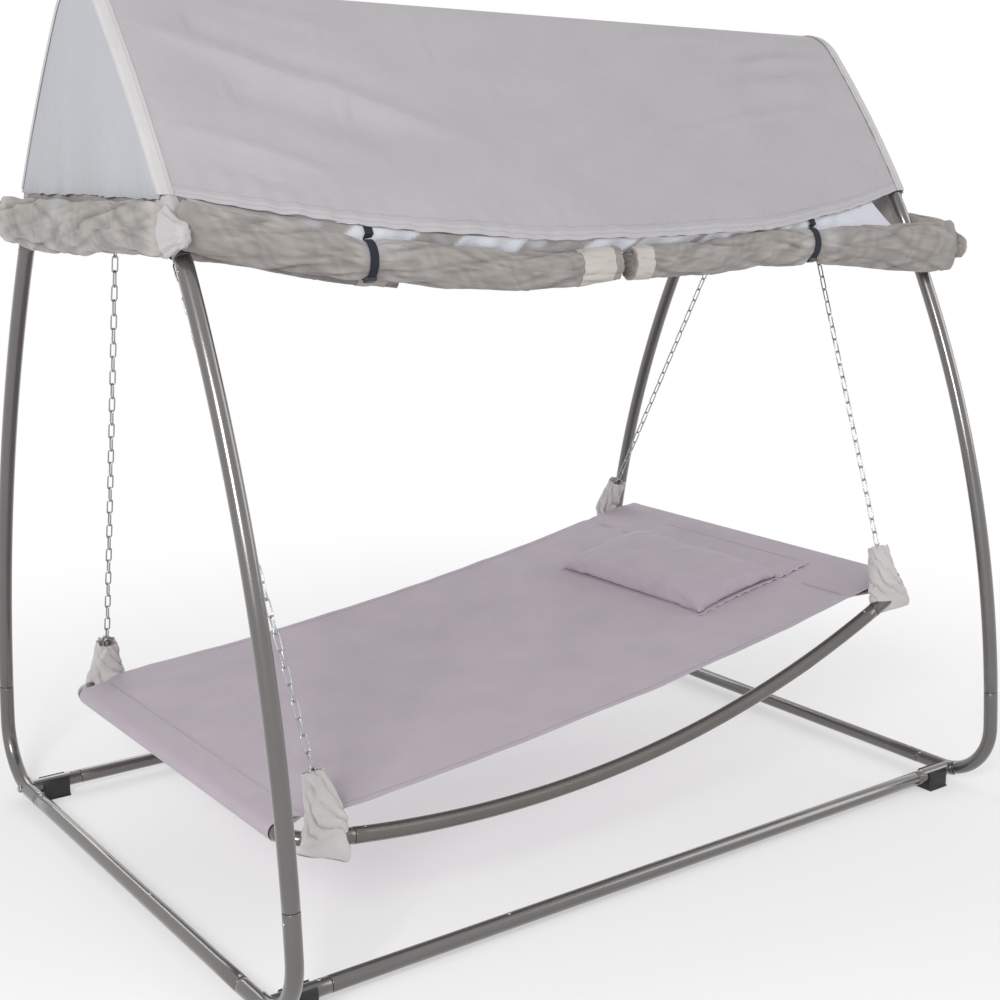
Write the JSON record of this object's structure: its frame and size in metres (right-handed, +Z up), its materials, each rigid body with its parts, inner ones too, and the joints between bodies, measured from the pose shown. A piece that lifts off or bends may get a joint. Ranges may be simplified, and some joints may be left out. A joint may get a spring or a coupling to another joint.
{
  "type": "canopy hammock",
  "caption": "Bed hammock slung on chains under a gable fabric roof with rolled net walls, in a free-standing tube stand.",
  "frame": {"origin": "on the floor, under the middle of the stand", "axes": "+Z up, +X from the foot end to the head end, -Y the near side"},
  "size_m": [2.3434, 1.6814, 2.1012],
  "materials": {
    "stand_tube": "satin taupe powder coat",
    "bed_tube": "satin taupe powder coat",
    "zinc": "bright zinc plate",
    "black_plastic": "matte moulded",
    "roof_cloth": "plain woven polyester",
    "net": "rolled fine mesh",
    "bed_cloth": "fine textile weave",
    "cover_cloth": "plain woven polyester",
    "webbing": "woven tape"
  },
  "bodies": {
    "stand": {"foot_floor_tube": "stand_tube", "foot_gable_arch": "stand_tube", "foot_near_elbow": "stand_tube", "foot_near_leg": "stand_tube", "foot_far_elbow": "stand_tube", "foot_far_leg": "stand_tube", "head_floor_tube": "stand_tube", "head_gable_arch": "stand_tube", "head_near_elbow": "stand_tube", "head_near_leg": "stand_tube", "head_far_elbow": "stand_tube", "head_far_leg": "stand_tube", "near_floor_rail": "stand_tube", "far_floor_rail": "stand_tube", "ridge_tube": "stand_tube", "foot_near_rail_saddle": "stand_tube", "foot_near_rail_bolt": "zinc", "foot_near_foot": "black_plastic", "foot_far_rail_saddle": "stand_tube", "foot_far_rail_bolt": "zinc", "foot_far_foot": "black_plastic", "head_near_rail_saddle": "stand_tube", "head_near_rail_bolt": "zinc", "head_near_foot": "black_plastic", "head_far_rail_saddle": "stand_tube", "head_far_rail_bolt": "zinc", "head_far_foot": "black_plastic", "foot_hanger_eye": "zinc", "head_hanger_eye": "zinc", "canopy": "roof_cloth", "foot_near_net_roll": "net", "foot_near_roll_strap": "webbing", "foot_far_net_roll": "net", "foot_far_roll_strap": "webbing", "foot_end_net_roll": "net", "head_near_net_roll": "net", "head_near_roll_strap": "webbing", "head_far_net_roll": "net", "head_far_roll_strap": "webbing", "head_end_net_roll": "net"},
    "hooks": {"foot_snap_hook": "zinc", "head_snap_hook": "zinc"},
    "foot_chains": {"foot_near_chain": "zinc", "foot_far_chain": "zinc"},
    "bed": {"foot_end_bar": "bed_tube", "head_end_bar": "bed_tube", "near_bow_tube": "bed_tube", "far_bow_tube": "bed_tube", "foot_near_corner_eye": "zinc", "foot_near_corner_cover": "cover_cloth", "foot_far_corner_eye": "zinc", "foot_far_corner_cover": "cover_cloth", "head_near_corner_eye": "zinc", "head_near_corner_cover": "cover_cloth", "head_far_corner_eye": "zinc", "head_far_corner_cover": "cover_cloth", "bed_cloth": "bed_cloth", "pillow": "bed_cloth"},
    "head_chains": {"head_near_chain": "zinc", "head_far_chain": "zinc"}
  },
  "joints": [
    {"name": "side_swing", "type": "hinge", "parent": "stand", "child": "hooks", "pos_m": [0, 0, 2.02391], "axis": [1, 0, 0], "range_deg": [-15, 15]},
    {"name": "lengthwise_swing", "type": "hinge", "parent": "hooks", "child": "foot_chains", "pos_m": [-1.027, 0, 1.92491], "axis": [0, 1, 0], "range_deg": [-2, 2]},
    {"name": "foot_corner_pivot", "type": "hinge", "parent": "foot_chains", "child": "bed", "pos_m": [-0.89552, 0, 0.36262], "axis": [0, 1, 0], "range_deg": [-2.4, 2.4]},
    {"name": "head_corner_pivot", "type": "hinge", "parent": "bed", "child": "head_chains", "pos_m": [0.88963, 0, 0.59637], "axis": [0, 1, 0], "range_deg": [-2.8, 2.8]}
  ],
  "couplings": [
    {"joint": "foot_corner_pivot", "follows": "lengthwise_swing", "ratio": -1.1664},
    {"joint": "head_corner_pivot", "follows": "lengthwise_swing", "ratio": 1.3716}
  ]
}
